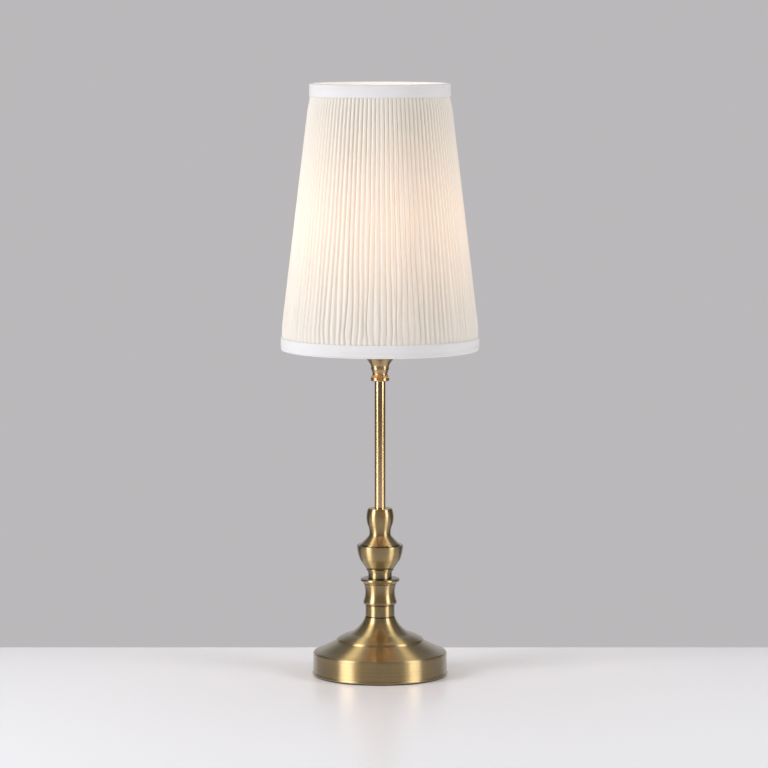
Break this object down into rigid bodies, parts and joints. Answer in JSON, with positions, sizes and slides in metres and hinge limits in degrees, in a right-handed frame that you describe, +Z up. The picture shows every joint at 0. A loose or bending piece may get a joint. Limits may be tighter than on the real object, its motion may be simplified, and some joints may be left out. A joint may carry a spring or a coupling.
{
  "type": "candlestick lamp",
  "caption": "Table lamp with a turned brass column on a weighted stepped foot, a screw lamp holder and a tall tapered pleated cloth shade.",
  "frame": {"origin": "on the table under the felt, on the column's axis", "axes": "+Z up along the column; +Y towards the cord inlet at the back; -Y towards the viewer in the picture"},
  "size_m": [0.1798, 0.1798, 0.5391],
  "materials": {
    "felt": "pressed felt",
    "zinc_steel": "zinc plated",
    "spun_brass": "satin antique brass",
    "cast_weight": "rough casting",
    "black_bush": "moulded",
    "terminal_plastic": "moulded",
    "live_insulation": "extruded",
    "neutral_insulation": "extruded",
    "turned_brass": "satin, turned",
    "polished_brass": "polished",
    "holder_brass": "polished, turned",
    "skirt_plastic": "moulded",
    "holder_ceramic": "glazed",
    "contact_brass": "sheet, bare",
    "frame_wire": "painted white",
    "shade_lining": "translucent lining sheet",
    "shade_cloth": "pleated cloth, lit from inside",
    "band_cloth": "plain cloth band",
    "bulb_glass": "black insulator",
    "bulb_nickel": "nickel plated",
    "bulb_plastic": "moulded",
    "circuit_board": "laminate",
    "led_yellow": "moulded",
    "opal_dome": "opal, lit"
  },
  "bodies": {
    "stand": {"base_felt": "felt", "base_cover": "zinc_steel", "cover_screws": "zinc_steel", "base_washer": "zinc_steel", "base_lock_washer": "zinc_steel", "base_nut": "zinc_steel", "base_rod": "zinc_steel", "clamp_screws": "zinc_steel", "block_fixing_screw": "zinc_steel", "grub_screw": "zinc_steel", "holder_terminal_screws": "zinc_steel", "base_shell": "spun_brass", "base_weight": "cast_weight", "cord_bush": "black_bush", "terminal_block": "terminal_plastic", "live_lead": "live_insulation", "neutral_lead": "neutral_insulation", "neck_sleeve": "turned_brass", "waisted_drum": "turned_brass", "ring_disc": "turned_brass", "bead_collar": "turned_brass", "vase_bowl": "turned_brass", "vase_cap": "turned_brass", "stem_tube": "polished_brass", "ring_nut": "holder_brass", "holder_dome": "holder_brass", "holder_skirt": "skirt_plastic", "shade_rest_ring": "skirt_plastic", "holder_core": "holder_ceramic", "shell_contact": "contact_brass", "centre_contact": "contact_brass"},
    "shade": {"shade_spider": "frame_wire", "top_wire_ring": "frame_wire", "shade_liner": "shade_lining", "shade_cover": "shade_cloth", "bottom_band": "band_cloth", "top_band": "band_cloth"},
    "lock_ring": {"shade_lock_ring": "skirt_plastic"},
    "bulb": {"bulb_contact": "contact_brass", "bulb_insulator": "bulb_glass", "bulb_cap": "bulb_nickel", "bulb_housing": "bulb_plastic", "bulb_board": "circuit_board", "bulb_leds": "led_yellow", "bulb_driver": "circuit_board", "bulb_dome": "opal_dome"}
  },
  "joints": [
    {"name": "shade_turn", "type": "hinge", "parent": "stand", "child": "shade", "pos_m": [0, 0, 0.3171], "axis": [0, 0, 1], "continuous": true},
    {"name": "lock_ring_turn", "type": "hinge", "parent": "stand", "child": "lock_ring", "pos_m": [0, 0, 0.3186], "axis": [0, 0, 1], "continuous": true},
    {"name": "bulb_turn", "type": "hinge", "parent": "stand", "child": "bulb", "pos_m": [0, 0, 0.3214], "axis": [0, 0, 1], "continuous": true}
  ]
}
